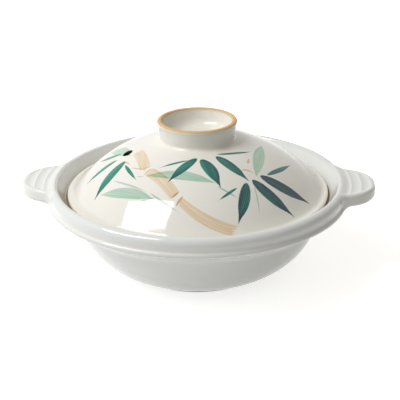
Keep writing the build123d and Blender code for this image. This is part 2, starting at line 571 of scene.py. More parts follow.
# %% The wheel
def make_wheel():
    """The node tree that turns a profile into a wall."""
    tree = bpy.data.node_groups.new("wheel", "GeometryNodeTree")
    for title, kind, value in (
        ("Profile", "NodeSocketGeometry", None),
        ("Sides", "NodeSocketInt", 200),
        ("Profile points", "NodeSocketInt", 2),
        ("Unevenness", NUMBER, 0.0),
        ("Lump size", NUMBER, 0.06),
        ("Seed", NUMBER, 1.0),
        ("Finish", "NodeSocketMaterial", None),
    ):
        socket = tree.interface.new_socket(title, in_out="INPUT", socket_type=kind)
        if value is not None:
            socket.default_value = value
    tree.interface.new_socket("Clay", in_out="OUTPUT", socket_type="NodeSocketGeometry")
    take = put(tree, "NodeGroupInput").outputs

    columns = maths(tree, "ADD", take["Sides"], 1.0)
    grid = put(
        tree,
        "GeometryNodeMeshGrid",
        {"Vertices X": columns, "Vertices Y": take["Profile points"]},
    ).outputs["Mesh"]
    number = put(tree, "GeometryNodeInputIndex").outputs[0]
    column = maths(tree, "FLOOR", maths(tree, "DIVIDE", number, take["Profile points"]))
    row = maths(tree, "SUBTRACT", number, maths(tree, "MULTIPLY", column, take["Profile points"]))
    position = put(tree, "GeometryNodeInputPosition").outputs[0]
    spot = from_profile(tree, take["Profile"], row, position, "FLOAT_VECTOR")
    carried = put(
        tree, "GeometryNodeInputNamedAttribute", {"Name": "glaze_thickness"}, data_type="FLOAT"
    ).outputs["Attribute"]
    thickness = from_profile(tree, take["Profile"], row, carried, "FLOAT")

    parts = put(tree, "ShaderNodeSeparateXYZ", {0: spot}).outputs
    turn = maths(tree, "FRACT", maths(tree, "DIVIDE", column, take["Sides"]))
    angle = maths(tree, "MULTIPLY", turn, math.tau)
    direction = put(
        tree,
        "ShaderNodeCombineXYZ",
        {0: maths(tree, "COSINE", angle), 1: maths(tree, "SINE", angle)},
    ).outputs[0]
    height = put(tree, "ShaderNodeCombineXYZ", {2: parts[2]}).outputs[0]
    on_wall = arrows(tree, "ADD", stretched(tree, direction, parts[0]), height)
    lumps = put(
        tree,
        "ShaderNodeTexNoise",
        {
            "Vector": on_wall,
            "W": take["Seed"],
            "Scale": maths(tree, "DIVIDE", 1.0, take["Lump size"]),
            "Detail": 1.0,
        },
        noise_dimensions="4D",
    ).outputs["Fac"]
    near_axis = rise(tree, parts[0], 0.0, 0.03)
    drawn_in = maths(tree, "MULTIPLY", maths(tree, "MULTIPLY", lumps, take["Unevenness"]), near_axis)
    radius = maths(tree, "SUBTRACT", parts[0], drawn_in)
    thrown_spot = arrows(tree, "ADD", stretched(tree, direction, radius), height)
    wall = put(tree, "GeometryNodeSetPosition", {"Geometry": grid, "Position": thrown_spot}).outputs[0]
    wall = put(
        tree,
        "GeometryNodeStoreNamedAttribute",
        {"Geometry": wall, "Name": "glaze_thickness", "Value": thickness},
        data_type="FLOAT",
        domain="POINT",
    ).outputs[0]
    wall = put(tree, "GeometryNodeMergeByDistance", {"Geometry": wall, "Distance": 1e-6}).outputs[0]
    wall = put(tree, "GeometryNodeSetShadeSmooth", {"Geometry": wall, "Shade Smooth": True}).outputs[0]
    wall = put(tree, "GeometryNodeRealizeInstances", {"Geometry": wall}).outputs[0]
    wall = put(
        tree, "GeometryNodeSetMaterial", {"Geometry": wall, "Material": take["Finish"]}
    ).outputs[0]
    put(tree, "NodeGroupOutput", {"Clay": wall})
    return tree


wheel = make_wheel()
print("wheel:", len(wheel.nodes), "nodes")


# %% Turning a piece
def plain_copy(source, name):
    """A new object with the finished mesh of another, which is removed with its modifiers."""
    ready = source.evaluated_get(bpy.context.evaluated_depsgraph_get())
    mesh = bpy.data.meshes.new_from_object(ready)
    mesh.name = name
    bpy.data.objects.remove(source)
    return add_object(name, mesh)


def face_outwards(piece):
    """Points the faces of a closed shape outwards, makes them smooth and counts open edges."""
    shape = bmesh.new()
    shape.from_mesh(piece.data)
    bmesh.ops.recalc_face_normals(shape, faces=shape.faces)
    if shape.calc_volume(signed=True) < 0:
        bmesh.ops.reverse_faces(shape, faces=shape.faces)
    open_edges = sum(1 for edge in shape.edges if not edge.is_manifold)
    shape.to_mesh(piece.data)
    shape.free()
    piece.data.polygons.foreach_set("use_smooth", [True] * len(piece.data.polygons))
    print(piece.name, "faces", len(piece.data.polygons), "open edges", open_edges)


def thrown(name, line, bend, material, sides=240, unevenness=0.2, seed=1.0):
    """Turns a profile on the wheel and gives the finished piece."""
    points = [(r * mm, 0, z * mm) for r, z in line]
    mesh = bpy.data.meshes.new(name + "_profile")
    mesh.from_pydata(points, [(k, k + 1) for k in range(len(points) - 1)], [])
    carry_glaze(mesh, bend)
    profile = add_object(name + "_profile", mesh)
    wheel_modifier = profile.modifiers.new("wheel", "NODES")
    wheel_modifier.node_group = wheel
    given = {
        "Sides": sides,
        "Profile points": len(points),
        "Unevenness": unevenness * mm,
        "Seed": seed,
        "Finish": material,
    }
    for socket in wheel.interface.items_tree:
        if socket.in_out == "INPUT" and socket.name in given:
            wheel_modifier[socket.identifier] = given[socket.name]
    piece = plain_copy(profile, name)
    face_outwards(piece)
    return piece


# %% [markdown]
# ## The bowl
#
# The bowl stands on a low foot ring. Its belly swells on one arc, turns out under the collar and
# carries a ridge round the collar's lower edge. The lip is broad and round. Inside it a narrow ledge
# carries the lid; the ledge and the ring that the pot stands on are wiped clean of glaze.

# %% Bowl material
pot_white = (0.81, 0.82, 0.795, 1)
pot_thin = (0.81, 0.80, 0.765, 1)
pot_pooled = (0.755, 0.77, 0.75, 1)
seat_clay = (0.30, 0.23, 0.12, 1)
bare_seat = (59.3, 60.4, 88.5, 107.0)
bare_foot_ring = (-1.0, 0.7, 0.0, 58.0)
bare_foot_hollow = (-1.0, 2.5, 0.0, 55.5)
pot_glaze = glazed_clay(
    "pot_glaze",
    (pot_white, pot_thin, pot_pooled),
    seat_clay,
    [bare_seat, bare_foot_ring, bare_foot_hollow],
    ring_width=6.5,
)

# %% Bowl
foot_radius = 56.5
foot_inner_radius = 48.5
foot_height = 4
foot_recess = 1.5
floor_height = 7.7
belly_centre = (42.02, 55.6)
belly_radius = 54.88
inside_centre = (42.0, 55.6)
inside_radius = 47.9
cove_start = (96.05, 46)
cove_round = 14
band_radius = 115.5
bead_height = 59.4
bead_radius = 2.0
seat_height = 60
seat_radius = 89.9
rim_height = 71.6
rim_inner_radius = 103.6
lip_inner_radius = 109.9
lip_radius = 116.7
lip_round = 5.0
bowl_corners = [
    (0, foot_recess, 0),
    (foot_inner_radius, foot_recess, 0.5),
    (foot_inner_radius, 0, 0.7),
    (foot_radius, 0, 1.0),
    (foot_radius, foot_height, 1.0),
    *arc(belly_centre, belly_radius, -70.1, -17.5),
    (*cove_start, cove_round),
    (band_radius, bead_height - bead_radius, 0.6),
    *arc((band_radius, bead_height), bead_radius, -80, 80, 16),
    (band_radius, bead_height + bead_radius, 0.9),
    (lip_radius, rim_height, lip_round),
    (lip_inner_radius, rim_height, 1.6),
    (rim_inner_radius, seat_height, 2.0),
    (seat_radius, seat_height, 1.6),
    *arc(inside_centre, inside_radius, 0, -90, 60),
    (0, floor_height, 0),
]
bowl_line, bowl_bend = thinned(melted(rounded(bowl_corners), 0.75))
pot_bowl = thrown("pot_bowl_glazed", bowl_line, bowl_bend, pot_glaze, sides=448, seed=2.0)
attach(pot_bowl, "pot")
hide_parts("pot_bowl")
print("bowl profile", len(bowl_line), "points, widest", round(bowl_line[:, 0].max(), 2), "mm")

# %% [markdown]
# ## The ears
#
# Each ear is pressed in a mould and luted to the collar with slip, and the glaze runs over the joint
# and softens it. Such melted joints are easiest to describe by distance. At every point of space
# the script asks how far the ear and the bowl are, blends the two distances where they are close,
# and lays a skin where the blend is zero. Three flutes follow the pot's roundness across the top.

# %% Ear sizes
ear_reach = 138.0
ear_top = 70.1
ear_thickness = 10.5
ear_half_root = 30.5
ear_half_tip = 19.2
ear_root = 113.5
ear_corner = 12.5
ear_top_round = 2.4
ear_under_round = 3.8
ear_border = 2.9
flute_outer = 134.8
flute_pitch = 7.6
flute_ridge = 0.5
flute_depth = 0.65
flute_shore = 2.4
joint_softness = 4.0
skin_sink = 0.02
bowl_tree = BVHTree.FromPolygons(
    [tuple(v.co) for v in pot_bowl.data.vertices],
    [tuple(face.vertices) for face in pot_bowl.data.polygons],
)
print("the ears join a bowl of", len(pot_bowl.data.polygons), "faces")


# %% Distances to the ear and the bowl
def round_meet(first, second, rounding):
    """Where two shapes overlap, with a rounded edge."""
    over = np.hypot(np.maximum(first + rounding, 0), np.maximum(second + rounding, 0))
    return np.minimum(-rounding, np.maximum(first, second)) + over


def ear_plan(x, y):
    """Distance to the ear's outline seen from above, and the distance from the pot's axis."""
    slope = (ear_half_root - ear_half_tip) / (ear_reach - ear_root)
    half = ear_half_root + slope * (ear_root - x)
    from_axis = np.hypot(x, y)
    beside = (np.abs(y) - half) / math.hypot(1, slope)
    return round_meet(beside, from_axis - ear_reach, ear_corner), from_axis


def flutes(plan, from_axis):
    """Depth of the flutes below the ear's top."""
    place = (flute_outer - from_axis) / flute_pitch
    across = 2 * (place - np.floor(place)) - 1
    across = across / (1 - flute_ridge / flute_pitch)
    hollow = np.clip(1 - across**2, 0, None) ** 0.8
    hollow = np.where(place > 0, hollow, 0)
    shore = np.clip((-plan - ear_border) / flute_shore, 0, 1)
    return flute_depth * hollow * shore * shore * (3 - 2 * shore)


def ear_distance(points):
    """Distance to the ear by itself, less than zero inside its clay."""
    plan, from_axis = ear_plan(points[:, 0], points[:, 1])
    above = points[:, 2] - (ear_top - flutes(plan, from_axis))
    below = (ear_top - ear_thickness) - points[:, 2]
    return round_meet(round_meet(plan, above, ear_top_round), below, ear_under_round)


def bowl_distance(points, side):
    """Distance to the finished bowl, less than zero inside its clay."""
    far = []
    for x, y, z in points * mm:
        at = Vector((x * side, y, z))
        spot, normal, _, distance = bowl_tree.find_nearest(at)
        far.append(math.copysign(distance, (at - spot).dot(normal)) / mm)
    return np.array(far)


ear_middle = np.array([((ear_root + ear_reach) / 2, 0, ear_top - ear_thickness / 2)])
print("from the ear's middle to its surface:", round(-ear_distance(ear_middle)[0], 2), "mm")


# %% [markdown]
# An ear's piece goes on a little way along the collar, where its skin is the bowl's own, sunk by a
# hair so that the bowl's shows. The piece ends inside the bowl's wall: it goes only a little way into
# the clay, and stops at two upright planes through the pot's axis and at a cone under the cove.

# %% The piece that an ear is cut to
deepest_in_wall = 2.4
back_radius = 110.6
back_lean = 0.9
back_lean_from = 63
side_angle = math.radians(19.5)
cone_spot = (109, 53.6)
cone_way = (0.863, 0.505)
near_ear = 12
far_away = 20.0


def joined(points, side):
    """The ear and the bowl melted together, but only the part that belongs to the ear."""
    x, y, z = points.T
    ear = ear_distance(points)
    bowl = np.full(len(points), far_away)
    near = ear < near_ear
    bowl[near] = bowl_distance(points[near], side)
    close = np.maximum(joint_softness - np.abs(ear - bowl), 0) / joint_softness
    skin = np.minimum(ear, bowl) - close**2 * joint_softness / 4 + skin_sink
    from_axis = np.hypot(x, y)
    behind = back_radius - back_lean * np.maximum(back_lean_from - z, 0) - from_axis
    hidden = np.maximum(-(bowl + deepest_in_wall), behind)
    below_cove = cone_way[0] * (cone_spot[0] - from_axis) + cone_way[1] * (cone_spot[1] - z)
    beside = math.cos(side_angle) * np.abs(y) - math.sin(side_angle) * x
    return np.maximum.reduce([skin, hidden, beside, below_cove])


print("and to the joined surface:", round(-joined(ear_middle, 1)[0], 2), "mm")


# %% [markdown]
# The skin is laid by surface nets: space is cut into small cells, each cell that the surface passes
# through gets one point at the mean of its crossings, and neighbouring cells are joined by a face.
# Then every point is moved along the slope of the distance until it lies on the surface.


# %% Surface nets
def surface_net(field, low, step):
    """Points and faces of the surface where a grid of distances is zero."""
    inside = field < 0
    cells = tuple(n - 1 for n in field.shape)
    total = np.zeros((*cells, 3))
    count = np.zeros(cells)
    corners = [(a, b, c) for a in (0, 1) for b in (0, 1) for c in (0, 1)]
    view = {c: tuple(slice(c[k], c[k] + cells[k]) for k in range(3)) for c in corners}
    for one in corners:
        for axis in range(3):
            if one[axis]:
                continue
            other = tuple(v + (k == axis) for k, v in enumerate(one))
            crossed = inside[view[one]] != inside[view[other]]
            a, b = field[view[one]][crossed], field[view[other]][crossed]
            spot = np.tile(np.array(one, float), (len(a), 1))
            spot[:, axis] += a / (a - b)
            total[crossed] += spot
            count[crossed] += 1
    used = count > 0
    number = np.full(cells, -1)
    number[used] = np.arange(used.sum())
    points = low + step * (np.argwhere(used) + total[used] / count[used][:, None])
    faces = []
    for axis in range(3):
        u, v = (axis + 1) % 3, (axis + 2) % 3
        ahead = tuple(slice(1, None) if k == axis else slice(None) for k in range(3))
        back = tuple(slice(None, -1) if k == axis else slice(None) for k in range(3))
        changed = np.argwhere(inside[ahead] != inside[back])
        changed = changed[(changed[:, u] > 0) & (changed[:, v] > 0)]
        changed = changed[(changed[:, u] < cells[u]) & (changed[:, v] < cells[v])]
        ring = []
        for du, dv in ((-1, -1), (0, -1), (0, 0), (-1, 0)):
            cell = changed.copy()
            cell[:, u] += du
            cell[:, v] += dv
            ring.append(number[tuple(cell.T)])
        face = np.stack(ring, axis=1)
        flip = ~inside[tuple(changed.T)]
        face[flip] = face[flip][:, ::-1]
        faces.append(face)
    return points, np.vstack(faces)


steps = np.arange(-5.0, 6.0)
ball = np.sqrt(steps[:, None, None] ** 2 + steps[:, None] ** 2 + steps**2) - 3.5
print("a ball 7 cells wide gets", len(surface_net(ball, np.full(3, -5.0), 1.0)[0]), "points")


# %% Settling on the surface
def settled(points, distance, rounds=3, nudge=0.05):
    """Moves points along the slope of a distance until they lie where it is zero."""
    for _ in range(rounds):
        here = distance(points)
        slope = np.stack(
            [distance(points + nudge * np.eye(3)[k]) - here for k in range(3)], axis=1
        ) / nudge
        move = -here[:, None] * slope / np.maximum((slope**2).sum(axis=1), 0.25)[:, None]
        length = np.linalg.norm(move, axis=1, keepdims=True)
        points = points + move * np.minimum(1, 0.4 / np.maximum(length, 1e-9))
    return points


# %% Bend of the ears' skin
def skin_bend(mesh, rounds=6):
    """How much a mesh bends outwards at each point, per millimetre, evened out over neighbours."""
    edges = np.array([tuple(e.vertices) for e in mesh.edges])
    spots = np.array([tuple(v.co) for v in mesh.vertices]) / mm
    normals = np.array([tuple(v.normal) for v in mesh.vertices])
    bend = np.zeros(len(spots))
    links = np.zeros(len(spots))
    for a, b in (edges.T, edges[:, ::-1].T):
        apart = spots[b] - spots[a]
        np.add.at(bend, a, -2 * (apart * normals[a]).sum(axis=1) / (apart**2).sum(axis=1))
        np.add.at(links, a, 1)
    bend /= links
    for _ in range(rounds):
        spread = np.zeros(len(spots))
        for a, b in (edges.T, edges[:, ::-1].T):
            np.add.at(spread, a, bend[b])
        bend = spread / links
    return bend


# %% Ears
ear_cell = 0.75
ear_low = np.array((94.13, -44.21, 48.17))
ear_high = np.array((141.0, 44.5, 76.0))


def pressed_ear(name, side, node):
    """An ear of the pot: side is 1 for the right one and -1 for the left one."""
    axes = [np.arange(a, b, ear_cell) for a, b in zip(ear_low, ear_high)]
    grid = np.stack(np.meshgrid(*axes, indexing="ij"), axis=-1)
    field = joined(grid.reshape(-1, 3), side).reshape(grid.shape[:3])
    points, faces = surface_net(field, ear_low, ear_cell)
    kept, faces = np.unique(faces, return_inverse=True)
    faces = faces.reshape(-1, 4)
    points = settled(points[kept], lambda p: joined(p, side))
    points[:, 0] *= side
    mesh = bpy.data.meshes.new(name)
    mesh.from_pydata((points * mm).tolist(), [], faces.tolist())
    mesh.materials.append(pot_glaze)
    piece = add_object(name, mesh)
    face_outwards(piece)
    carry_glaze(mesh, skin_bend(mesh))
    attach(piece, "pot")
    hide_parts(node)


pressed_ear("ear_right_glazed", 1, "ear_right")
pressed_ear("ear_left_glazed", -1, "ear_left")

# %% [markdown]
# ## The painting on the lid
#
# Before glazing, a spray of bamboo is brushed on the lid, a common ornament on such pots. A dark
# leaf is one pull of a loaded round brush: it starts blunt, swells, and leaves the surface as a
# needle. The hairs leave streaks along it and the colour gathers along one edge. The stalk is pulled
# with a flat brush in thin tan, joint by joint. All strokes are worked out from the lid's own
# coordinates, in millimetres.


# %% Hairs of a brush
def hair_ripple(tree, share, across, number):
    """Streaks of a round brush, wound along the stroke."""
    travel = maths(tree, "MULTIPLY_ADD", share, 1.6, maths(tree, "ADD", across, number))
    return ripple(tree, travel, 1.3)


def hair_noise(tree, share, across, number):
    """Uneven streaks of a flat brush, long and narrow."""
    lane = put(
        tree,
        "ShaderNodeCombineXYZ",
        {0: maths(tree, "MULTIPLY", share, 1.4), 1: maths(tree, "MULTIPLY", across, 1.15), 2: number},
    ).outputs[0]
    return mottle(tree, lane, 1.0, 3, 0.6)


# %% Outline of a stroke
def stroke_outline(tree, share, profile):
    """The width of a stroke along its length, where its widest place is 1."""
    curve = put(tree, "ShaderNodeFloatCurve", {"Value": share})
    line = curve.mapping.curves[0]
    line.points[0].location = profile[0]
    line.points[1].location = profile[-1]
    for spot in profile[1:-1]:
        line.points.new(*spot)
    curve.mapping.use_clip = False
    curve.mapping.update()
    return curve.outputs[0]


# %% Brush stroke group
def make_brush_stroke(name, profile, soft_edge, hairs, hair_weight, edge_weight, rim_weight):
    """One stroke from its start to its end. It adds its ink and its shade to those so far."""
    tree, take, give = start_group(
        name,
        [
            ("Place", ARROW, None),
            ("Start", ARROW, (0, 0, 0)),
            ("End", ARROW, (1, 0, 0)),
            ("Width", NUMBER, 5.0),
            ("Bow", NUMBER, 0.0),
            ("Shade", NUMBER, 0.5),
            ("Heavy side", NUMBER, 1.0),
            ("Dry end", NUMBER, 0.0),
            ("Ink so far", NUMBER, 0.0),
            ("Shade so far", NUMBER, 0.0),
        ],
        [("Ink", NUMBER), ("Shade", NUMBER)],
    )
    run = arrows(tree, "SUBTRACT", take["End"], take["Start"])
    length = arrows(tree, "LENGTH", run)
    ahead = arrows(tree, "NORMALIZE", run)
    beside = arrows(tree, "CROSS_PRODUCT", (0, 0, 1), ahead)
    here = arrows(tree, "SUBTRACT", take["Place"], take["Start"])
    share = maths(tree, "DIVIDE", arrows(tree, "DOT_PRODUCT", here, ahead), length)
    arch = maths(tree, "MULTIPLY", share, maths(tree, "SUBTRACT", 1.0, share))
    arch = maths(tree, "MULTIPLY", maths(tree, "MULTIPLY", arch, 4.0), take["Bow"])
    across = maths(tree, "SUBTRACT", arrows(tree, "DOT_PRODUCT", here, beside), arch)

    number = arrows(tree, "DOT_PRODUCT", take["Start"], (0.37, 0.61, 0))
    streak = hairs(tree, share, across, number)
    patch = maths(tree, "MULTIPLY_ADD", across, 0.12, maths(tree, "ADD", share, number))
    load = ripple(tree, patch, 0.7)

    outline = stroke_outline(tree, share, profile)
    half = maths(tree, "MULTIPLY", maths(tree, "MULTIPLY", outline, 0.5), take["Width"])
    ragged = maths(tree, "MULTIPLY_ADD", maths(tree, "SUBTRACT", streak, 0.5), 0.16, half)
    within = maths(tree, "SUBTRACT", ragged, maths(tree, "ABSOLUTE", across))
    wet = rise(tree, within, -0.1, soft_edge)
    wet = maths(tree, "MULTIPLY", wet, maths(tree, "GREATER_THAN", share, 0.0))
    spent = maths(tree, "MULTIPLY_ADD", maths(tree, "MULTIPLY", streak, take["Dry end"]), 0.5, share)
    wet = maths(tree, "MULTIPLY", wet, rise(tree, spent, 1.01, 0.97))

    sideways = maths(tree, "DIVIDE", across, maths(tree, "MAXIMUM", half, 0.3))
    heavy = rise(tree, maths(tree, "MULTIPLY", sideways, take["Heavy side"]), 0.1, 0.9)
    rim = rise(tree, maths(tree, "ABSOLUTE", sideways), 0.6, 1.0)
    tone = maths(
        tree, "MULTIPLY_ADD", rise(tree, streak, 0.3, 0.7, -0.5, 0.5), hair_weight, take["Shade"]
    )
    tone = maths(tree, "MULTIPLY_ADD", rise(tree, load, 0.3, 0.7, -0.5, 0.5), 0.12, tone)
    tone = maths(tree, "MULTIPLY_ADD", heavy, edge_weight, tone)
    tone = maths(tree, "MULTIPLY_ADD", rim, rim_weight, tone)
    tone = maths(tree, "MULTIPLY_ADD", rise(tree, share, 0.5, 1.0), edge_weight, tone)
    change = maths(tree, "SUBTRACT", tone, take["Shade so far"])
    shade = maths(tree, "MULTIPLY_ADD", change, wet, take["Shade so far"])
    tree.links.new(maths(tree, "MAXIMUM", wet, take["Ink so far"]), give["Ink"])
    tree.links.new(shade, give["Shade"])
    return tree


# %% Three brushes
leaf_profile = [
    (0.0, 0.0), (0.04, 0.42), (0.12, 0.70), (0.25, 0.93), (0.4, 1.0), (0.55, 0.93),
    (0.68, 0.72), (0.78, 0.46), (0.88, 0.22), (1.0, 0.03),
]
wash_profile = [
    (0.0, 0.05), (0.1, 0.38), (0.22, 0.72), (0.36, 0.94), (0.5, 1.0), (0.64, 0.92),
    (0.78, 0.66), (0.9, 0.3), (1.0, 0.03),
]
band_profile = [(0.0, 0.95), (0.25, 1.0), (0.75, 1.0), (1.0, 0.95)]
round_brush = make_brush_stroke("round brush", leaf_profile, 0.4, hair_ripple, 0.26, 0.24, -0.25)
soft_brush = make_brush_stroke("soft brush", wash_profile, 0.9, hair_ripple, 0.34, 0.16, 0.16)
flat_brush = make_brush_stroke("flat brush", band_profile, 0.9, hair_noise, 0.5, 0.1, 0.1)
print("brushes:", len(round_brush.nodes), "nodes each")

# %% [markdown]
# The strokes are listed in the order they were painted. Each one has its start, its end, its width,
# how far it bows to its left, how dark it is from 0 to 1, and on which side the colour gathers.
# A stroke that runs dry has a last number, which says how streaky its end is.

# %% Dark leaves
dark_leaves = [
    ((-58.9, -5.4), (-77.6, 8.9), 4.4, 1.6, 0.35, -1),
    ((-61.5, -12.9), (-86.4, -19.4), 5.2, -1.2, 0.35, 1),
    ((-54.8, -21.2), (-77.3, -45.9), 9.2, -1.35, 0.4, 1),
    ((-54.5, -26.8), (-44.5, -50.2), 2.8, -0.5, 0.4, 1),
    ((-0.3, -38.6), (-22.2, -59.7), 7.4, -0.2, 0.55, 1),
    ((-6.9, -40.5), (-29.0, -44.1), 2.2, 0.1, 0.45, 1),
    ((2.7, -39.7), (16.9, -65.1), 9.8, 0.9, 0.6, 1),
    ((14.6, -32.8), (43.0, -17.5), 2.6, -1.9, 0.55, 1),
    ((13.8, -35.4), (38.3, -54.7), 8.3, 0.0, 0.62, 1),
    ((51.5, -41.9), (71.9, -11.1), 3.8, -1.4, 0.6, -1),
    ((46.1, -45.9), (84.6, -43.9), 9.8, -1.9, 0.88, 1),
    ((39.9, -52.4), (70.9, -65.1), 9.8, -1.7, 0.78, 1),
    ((36.0, -56.4), (28.4, -87.3), 8.2, 0.9, 0.72, -1),
    ((28.5, -62.7), (13.8, -75.4), 2.2, 0.2, 0.5, 1),
]
print("dark leaves:", len(dark_leaves))

# %% Pale leaves and stems
pale_leaves = [
    ((-72.7, -44.7), (-30.7, -70.4), 8.6, 0.6, 0.3, -1),
    ((-38.6, -48.3), (14.8, -62.2), 8.6, 0.6, 0.35, -1),
    ((43.0, -48.3), (50.0, -0.4), 9.4, 0.2, 0.3, 1),
    ((-68.0, 18.0), (-51.0, -17.0), 10.0, 0.5, 0.2, -1),
]
pale_stems = [
    ((-63.1, -38.4), (-34.5, -64.2), 1.7, -0.8, 0.3, 1),
    ((-34.5, -64.2), (-11.2, -83.5), 1.7, -1.0, 0.4, 1),
    ((-30.0, -68.5), (-44.6, -67.2), 1.3, 0.4, 0.3, 1),
    ((-45.3, -46.0), (-38.6, -48.3), 1.2, 0.0, 0.2, 1),
    ((14.0, -63.9), (30.4, -70.8), 1.8, -0.3, 0.6, 1),
    ((41.2, -56.2), (44.5, -78.7), 1.3, 0.5, 0.5, 1),
]
print("pale leaves and stems:", len(pale_leaves) + len(pale_stems))

# %% Stalk
stalk_joints = [
    ((-45.2, -15.0), (-38.6, -39.4), 8.9, 0.4, 0.35, -1),
    ((-35.2, -45.2), (-16.0, -70.6), 9.0, 0.6, 0.35, 1),
    ((-12.6, -74.8), (34.0, -90.4), 7.6, -6.0, 0.5, 1, 0.55),
]
joint_lines = [
    ((-42.5, -40.0), (-33.0, -38.6), 1.6, -0.7, 0.75, 1),
    ((-39.4, -46.8), (-31.2, -42.6), 1.7, 0.8, 0.5, 1),
    ((-18.6, -72.0), (-12.2, -67.8), 1.9, 0.3, 0.9, 1),
    ((-15.4, -78.0), (-9.6, -71.0), 2.0, 0.5, 0.8, 1),
    ((-56.2, -20.9), (-50.6, -29.8), 1.8, 0.6, 0.2, 1),
    ((-49.6, -34.0), (-34.9, -45.4), 1.5, 0.4, 0.2, 1),
    ((31.3, -46.2), (43.5, -46.3), 1.9, 2.0, 0.4, 1),
    ((37.4, -36.6), (38.8, -29.4), 2.4, 0.0, 0.35, 1),
]
print("joints of the stalk and fine lines:", len(stalk_joints) + len(joint_lines))


# %% Brushing
def brushed(tree, place, strokes, brush):
    """Lays strokes one after the other, and gives their ink and their shade."""
    ink = 0.0
    shade = 0.0
    for start, end, width, bow, dark, heavy, *dry in strokes:
        laid = use_group(
            tree,
            brush,
            {
                "Place": place,
                "Start": (*start, 0),
                "End": (*end, 0),
                "Width": width,
                "Bow": bow,
                "Shade": dark,
                "Heavy side": float(heavy),
                "Dry end": dry[0] if dry else 0.0,
                "Ink so far": ink,
                "Shade so far": shade,
            },
        )
        ink, shade = laid["Ink"], laid["Shade"]
    return ink, shade


def inked(tree, shade, stops):
    """The colour of a stroke from its shade."""
    ramp = put(tree, "ShaderNodeValToRGB", {0: shade})
    elements = ramp.color_ramp.elements
    elements[0].position, elements[0].color = stops[0]
    elements[1].position, elements[1].color = stops[-1]
    for spot, colour in stops[1:-1]:
        elements.new(spot).color = colour
    return ramp.outputs[0]


# %% [markdown]
# The painting has five layers. Thin tan and pale green let the glaze show through, so they multiply
# its colour. The dark green covers it. The colours of a layer run from its palest to its darkest
# stroke.

# %% Layers of the painting
tans = [(0.0, (0.97, 0.90, 0.80, 1)), (0.5, (0.89, 0.73, 0.53, 1)), (1.0, (0.82, 0.58, 0.36, 1))]
washes = [(0.0, (0.62, 0.80, 0.70, 1)), (0.5, (0.42, 0.67, 0.56, 1)), (1.0, (0.20, 0.50, 0.40, 1))]
stem_greens = [(0.0, (0.55, 0.68, 0.60, 1)), (1.0, (0.15, 0.42, 0.36, 1))]
rusts = [(0.0, (0.88, 0.72, 0.52, 1)), (1.0, (0.62, 0.28, 0.09, 1))]
leaf_greens = [
    (0.0, (0.06, 0.47, 0.32, 1)),
    (0.35, (0.003, 0.25, 0.17, 1)),
    (0.7, (0.001, 0.10, 0.09, 1)),
    (1.0, (0.001, 0.02, 0.05, 1)),
]
layers = [
    (stalk_joints, flat_brush, tans, 0.95, "MULTIPLY"),
    (pale_leaves, soft_brush, washes, 0.95, "MULTIPLY"),
    (pale_stems, round_brush, stem_greens, 0.7, "MULTIPLY"),
    (joint_lines, round_brush, rusts, 0.85, "MULTIPLY"),
    (dark_leaves, round_brush, leaf_greens, 1.0, "MIX"),
]
print("strokes:", sum(len(strokes) for strokes, *_ in layers))


def bamboo_spray(tree, place, colour):
    """Paints the spray over a colour, layer by layer. The page is turned with the camera."""
    page = put(
        tree,
        "ShaderNodeMapping",
        {"Vector": place, "Rotation": (0, 0, -pot_turn), "Scale": (per_metre,) * 3},
    ).outputs[0]
    for strokes, brush, stops, strength, how in layers:
        ink, shade = brushed(tree, page, strokes, brush)
        ink = maths(tree, "MULTIPLY", ink, strength)
        colour = blended(tree, ink, colour, inked(tree, shade, stops), how)
    return colour


# %% [markdown]
# ## The lid
#
# The dome is part of a sphere with a narrow, flat rim round it, turned on the same wheel as the bowl.
# Only its outside is painted, so its inside has a material of its own. The ring that rests on the
# seat is bare. The wall of the steam hole is coloured near-black as painted shade, for the dark
# inside of the closed pot.

# %% Lid material
lid_white = (0.83, 0.81, 0.75, 1)
lid_thin = (0.82, 0.79, 0.715, 1)
lid_pooled = (0.78, 0.765, 0.70, 1)
lid_colours = (lid_white, lid_thin, lid_pooled)
lid_clay = (0.55, 0.38, 0.20, 1)
# Near-black for the steam hole's wall: painted shade, where the dark inside of the closed pot shows.
hole_shade_black = (0.014, 0.010, 0.007, 1)
lid_rings = 7.5
bare_lid_ring = (60.0, 60.9, 90.0, 101.4)
bare_everywhere = (0.0, 200.0, 0.0, 200.0)
lid_glaze = glazed_clay("lid_glaze", lid_colours, lid_clay, [], lid_rings, bamboo_spray)
lid_inside_glaze = glazed_clay("lid_inside_glaze", lid_colours, lid_clay, [bare_lid_ring], lid_rings)
steam_hole_painted_shade = glazed_clay("steam_hole_painted_shade", lid_colours, hole_shade_black, [bare_everywhere], lid_rings)

# %% Lid dome
dome_centre = -21.28
dome_radius = 129.58
dome_edge = 93.5
under_centre = -18.15
under_radius = 120.45
under_edge = 91.4
lid_radius = 101.9
lid_rim_start = 97.3
lid_rim_top = 64.3
lid_underside = 60.3
rim_angle = math.degrees(math.acos(dome_edge / dome_radius))
under_angle = math.degrees(math.acos(under_edge / under_radius))
lid_corners = [
    *arc((0, dome_centre), dome_radius, 90, rim_angle, 90),
    (lid_rim_start, lid_rim_top, 4.5),
    (lid_radius, lid_rim_top, 1.2),
    (lid_radius, lid_underside, 1.1),
    *arc((0, under_centre), under_radius, under_angle, 90, 80),
]
lid_line, lid_bend = thinned(melted(rounded(lid_corners), 0.4), coarsest=2.4)
lid_whole = thrown("lid_whole", lid_line, lid_bend, lid_glaze, sides=320, seed=5.0)


# %% [markdown]
# ## The steam hole
#
# The hole is pierced while the clay is soft, and the glaze rounds its edge. So the tool that cuts it
# here isn't a plain cylinder: it widens like a horn at both ends. Its rings are laid at heights above
# the dome's outside or below its inside, so that the rounded edge follows the slope of the dome.


# %% Steam hole tool
def dome_height(x, y, centre, radius):
    """Height of a sphere about a point on the axis, over a place."""
    return centre + math.sqrt(radius**2 - x * x - y * y)


